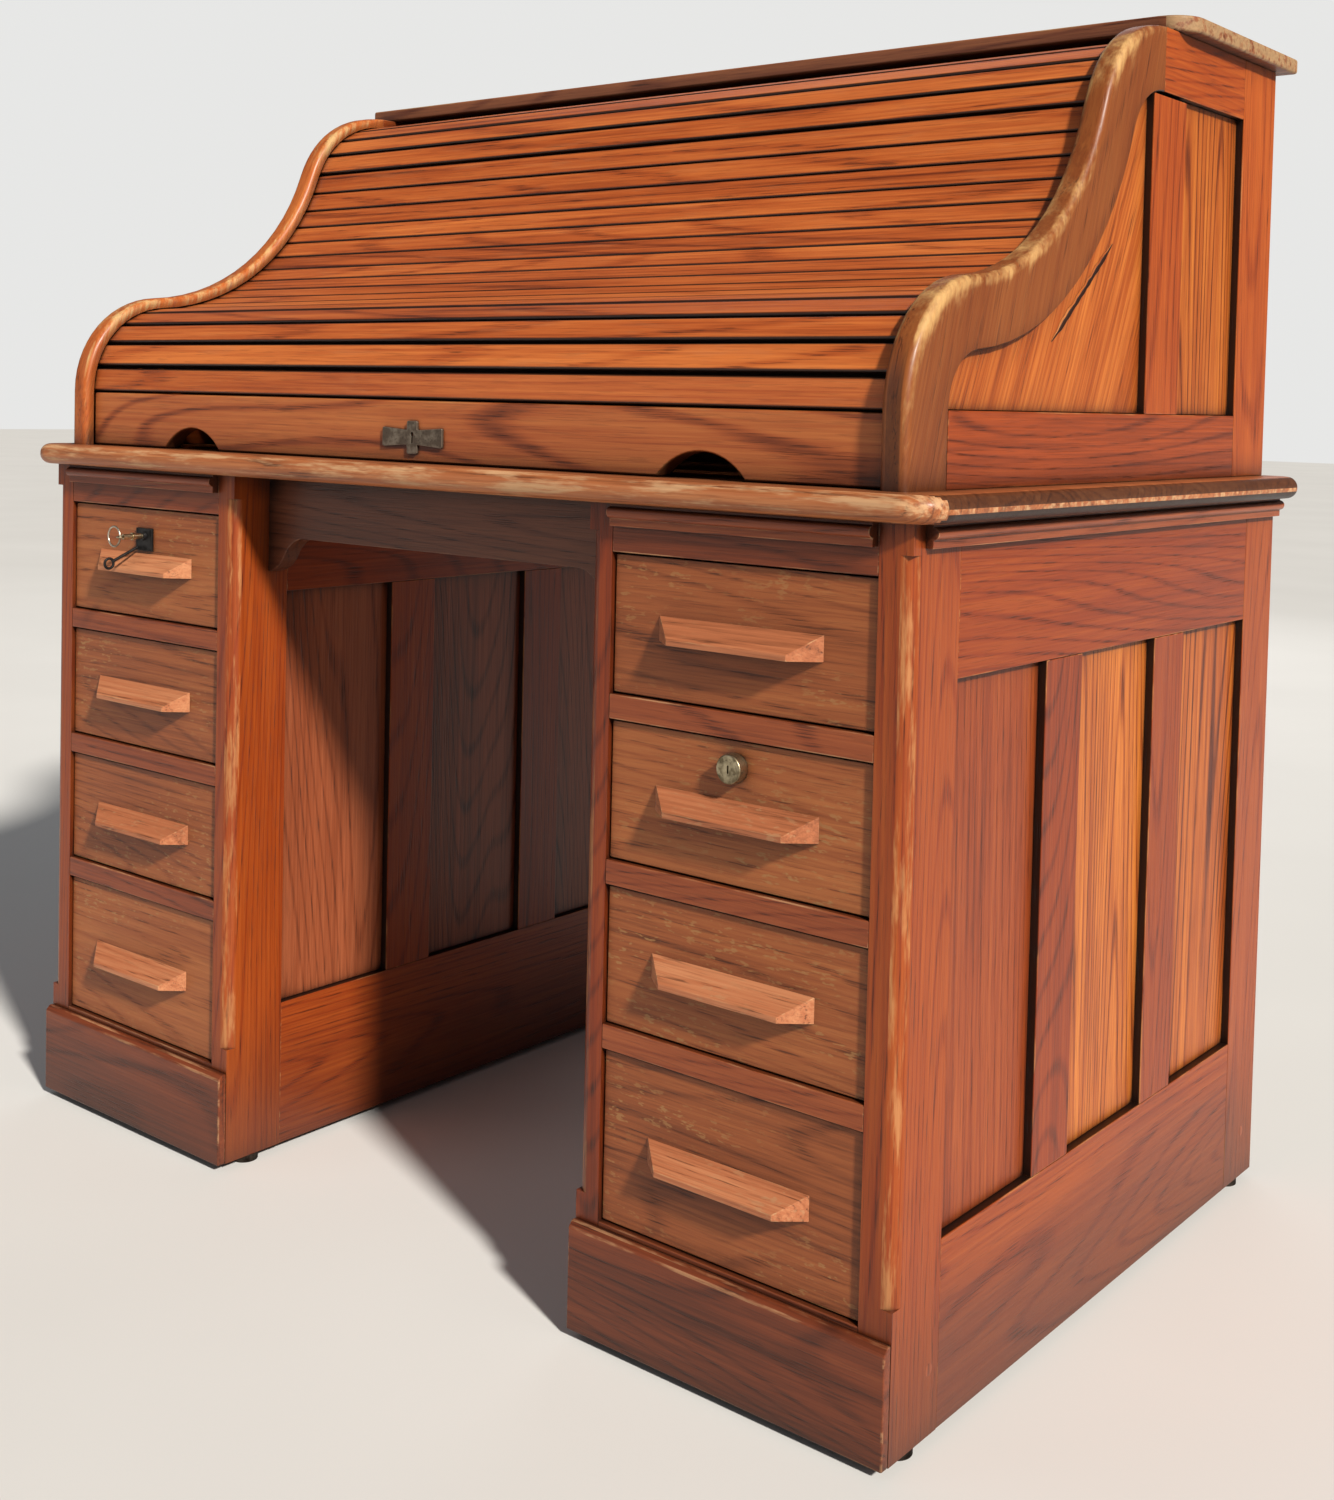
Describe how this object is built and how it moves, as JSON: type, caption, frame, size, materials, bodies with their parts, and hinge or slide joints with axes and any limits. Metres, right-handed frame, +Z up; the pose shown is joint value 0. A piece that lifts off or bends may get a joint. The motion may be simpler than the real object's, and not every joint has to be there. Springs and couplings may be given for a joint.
{
  "type": "roll top desk",
  "caption": "Oak roll top desk: S-shaped upper sides, slatted roll curtain, rounded writing board and two panelled drawer pedestals with wedge pulls.",
  "frame": {"origin": "on the floor under the middle of the desk", "axes": "+X to the right seen from the front, +Y to the back, +Z up"},
  "size_m": [1.22, 0.8084, 1.22],
  "materials": {
    "oak_frame": "worn satin varnish, reddish brown oak",
    "oak_panel": "worn satin varnish, orange brown oak",
    "oak_board": "worn satin varnish, pale at the edges",
    "oak_drawer": "dull brown varnish with small worn spots",
    "oak_pull": "worn varnish",
    "oak_slat": "satin varnish",
    "inner_wood": "plain unvarnished wood",
    "bronze": "dark tarnished",
    "brass": "worn, a little tarnished",
    "steel_wire": "worn",
    "black_iron": "matte black",
    "foot_iron": "matte"
  },
  "bodies": {
    "desk": {"writing_board": "oak_board", "top_board": "oak_board", "inner_frame_left": "oak_frame", "outer_frame_left": "oak_frame", "front_rails_left": "oak_frame", "plinth_left": "oak_frame", "upper_side_left": "oak_frame", "inner_frame_right": "oak_frame", "outer_frame_right": "oak_frame", "front_rails_right": "oak_frame", "plinth_right": "oak_frame", "upper_side_right": "oak_frame", "kneehole_panels": "oak_panel", "outer_panels": "oak_panel", "upper_panels": "oak_panel", "drawer_runners": "inner_wood", "mouldings": "oak_frame", "pedestal_backs": "inner_wood", "feet": "foot_iron", "kneehole_apron": "oak_frame", "upper_back": "inner_wood", "false_back": "inner_wood", "pigeonhole_case": "inner_wood", "pigeonhole_dividers": "inner_wood"},
    "curtain_01": {"slats_01_02": "oak_slat"},
    "curtain_02": {"slats_03_04": "oak_slat"},
    "curtain_03": {"slats_05_06": "oak_slat"},
    "curtain_04": {"slats_07_08": "oak_slat"},
    "curtain_05": {"slats_09_10": "oak_slat"},
    "curtain_06": {"slats_11_12": "oak_slat"},
    "curtain_07": {"slats_13_14": "oak_slat"},
    "curtain_08": {"slats_15_16": "oak_slat"},
    "curtain_09": {"slats_17_18": "oak_slat"},
    "curtain_10": {"slats_19_20": "oak_slat"},
    "curtain_11": {"slats_21_22": "oak_slat"},
    "curtain_12": {"slats_23_24": "oak_slat"},
    "drawer_left_1_body": {"drawer_left_1": "oak_drawer", "pull_left_1": "oak_pull", "lock_plate": "black_iron", "hook": "black_iron"},
    "drawer_left_2_body": {"drawer_left_2": "oak_drawer", "pull_left_2": "oak_pull"},
    "drawer_left_3_body": {"drawer_left_3": "oak_drawer", "pull_left_3": "oak_pull"},
    "drawer_left_4_body": {"drawer_left_4": "oak_drawer", "pull_left_4": "oak_pull"},
    "drawer_right_1_body": {"drawer_right_1": "oak_drawer", "pull_right_1": "oak_pull"},
    "drawer_right_2_body": {"drawer_right_2": "oak_drawer", "pull_right_2": "oak_pull", "cylinder_lock": "brass"},
    "drawer_right_3_body": {"drawer_right_3": "oak_drawer", "pull_right_3": "oak_pull"},
    "drawer_right_4_body": {"drawer_right_4": "oak_drawer", "pull_right_4": "oak_pull"},
    "key_body": {"key": "brass", "key_ring": "steel_wire"},
    "curtain_lead": {"curtain_rail": "oak_frame", "escutcheon": "bronze"}
  },
  "joints": [
    {"name": "rolltop", "type": "hinge", "parent": "desk", "child": "curtain_lead", "pos_m": [0, 0.15727, 0.6808], "axis": [-1, 0, 0], "range_deg": [0, 64.16]},
    {"name": "roll_01", "type": "hinge", "parent": "desk", "child": "curtain_01", "pos_m": [0, 0.10811, 0.7289], "axis": [-1, 0, 0], "range_deg": [0, 73.59], "deforming": ["slats_01_02"]},
    {"name": "roll_02", "type": "hinge", "parent": "desk", "child": "curtain_02", "pos_m": [0, 0.33668, 0.37934], "axis": [-1, 0, 0], "range_deg": [0, 38.19], "deforming": ["slats_03_04"]},
    {"name": "roll_03", "type": "slide", "parent": "desk", "child": "curtain_03", "axis": [0, 0.8723, 0.4889], "range_m": [0, 0.52987], "deforming": ["slats_05_06"]},
    {"name": "roll_04", "type": "hinge", "parent": "desk", "child": "curtain_04", "pos_m": [0, 0.92571, -0.5875], "axis": [-1, 0, 0], "range_deg": [0, 16.06], "deforming": ["slats_07_08"]},
    {"name": "roll_05", "type": "hinge", "parent": "desk", "child": "curtain_05", "pos_m": [0, 0.39754, 0.44593], "axis": [-1, 0, 0], "range_deg": [0, 41.34], "deforming": ["slats_09_10"]},
    {"name": "roll_06", "type": "hinge", "parent": "desk", "child": "curtain_06", "pos_m": [0, 0.16606, 0.95042], "axis": [-1, 0, 0], "range_deg": [0, 128.33], "deforming": ["slats_11_12"]},
    {"name": "roll_07", "type": "hinge", "parent": "desk", "child": "curtain_07", "pos_m": [0, 0.15986, 0.97467], "axis": [-1, 0, 0], "range_deg": [0, 139.46], "deforming": ["slats_13_14"]},
    {"name": "roll_08", "type": "hinge", "parent": "desk", "child": "curtain_08", "pos_m": [0, 0.15926, 0.99531], "axis": [-1, 0, 0], "range_deg": [0, 150.6], "deforming": ["slats_15_16"]},
    {"name": "roll_09", "type": "hinge", "parent": "desk", "child": "curtain_09", "pos_m": [0, 0.16166, 1.00791], "axis": [-1, 0, 0], "range_deg": [0, 158.14], "deforming": ["slats_17_18"]},
    {"name": "roll_10", "type": "hinge", "parent": "desk", "child": "curtain_10", "pos_m": [0, 0.13275, 0.95897], "axis": [-1, 0, 0], "range_deg": [0, 128.13], "deforming": ["slats_19_20"]},
    {"name": "roll_11", "type": "hinge", "parent": "desk", "child": "curtain_11", "pos_m": [0, 0.07822, 0.9036], "axis": [-1, 0, 0], "range_deg": [0, 98.12], "deforming": ["slats_21_22"]},
    {"name": "roll_12", "type": "hinge", "parent": "desk", "child": "curtain_12", "pos_m": [0, 0.05649, 0.88649], "axis": [-1, 0, 0], "range_deg": [0, 90.01], "deforming": ["slats_23_24"]},
    {"name": "slide_left_1", "type": "slide", "parent": "desk", "child": "drawer_left_1_body", "axis": [0, -1, 0], "range_m": [0, 0.42]},
    {"name": "slide_left_2", "type": "slide", "parent": "desk", "child": "drawer_left_2_body", "axis": [0, -1, 0], "range_m": [0, 0.42]},
    {"name": "slide_left_3", "type": "slide", "parent": "desk", "child": "drawer_left_3_body", "axis": [0, -1, 0], "range_m": [0, 0.42]},
    {"name": "slide_left_4", "type": "slide", "parent": "desk", "child": "drawer_left_4_body", "axis": [0, -1, 0], "range_m": [0, 0.42]},
    {"name": "slide_right_1", "type": "slide", "parent": "desk", "child": "drawer_right_1_body", "axis": [0, -1, 0], "range_m": [0, 0.42]},
    {"name": "slide_right_2", "type": "slide", "parent": "desk", "child": "drawer_right_2_body", "axis": [0, -1, 0], "range_m": [0, 0.42]},
    {"name": "slide_right_3", "type": "slide", "parent": "desk", "child": "drawer_right_3_body", "axis": [0, -1, 0], "range_m": [0, 0.42]},
    {"name": "slide_right_4", "type": "slide", "parent": "desk", "child": "drawer_right_4_body", "axis": [0, -1, 0], "range_m": [0, 0.42]},
    {"name": "key_turn", "type": "hinge", "parent": "drawer_left_1_body", "child": "key_body", "pos_m": [-0.4135, -0.36, 0.6715], "axis": [0, -1, 0], "range_deg": [0, 90]}
  ],
  "couplings": [
    {"joint": "roll_01", "follows": "rolltop", "ratio": 1.1469},
    {"joint": "roll_02", "follows": "rolltop", "ratio": 0.59505},
    {"joint": "roll_03", "follows": "rolltop", "m_per_rad": 0.4732},
    {"joint": "roll_04", "follows": "rolltop", "ratio": 0.25014},
    {"joint": "roll_05", "follows": "rolltop", "ratio": 0.64419},
    {"joint": "roll_06", "follows": "rolltop", "ratio": 2.0001},
    {"joint": "roll_07", "follows": "rolltop", "ratio": 2.1737},
    {"joint": "roll_08", "follows": "rolltop", "ratio": 2.3472},
    {"joint": "roll_09", "follows": "rolltop", "ratio": 2.4648},
    {"joint": "roll_10", "follows": "rolltop", "ratio": 1.997},
    {"joint": "roll_11", "follows": "rolltop", "ratio": 1.5292},
    {"joint": "roll_12", "follows": "rolltop", "ratio": 1.4028}
  ]
}
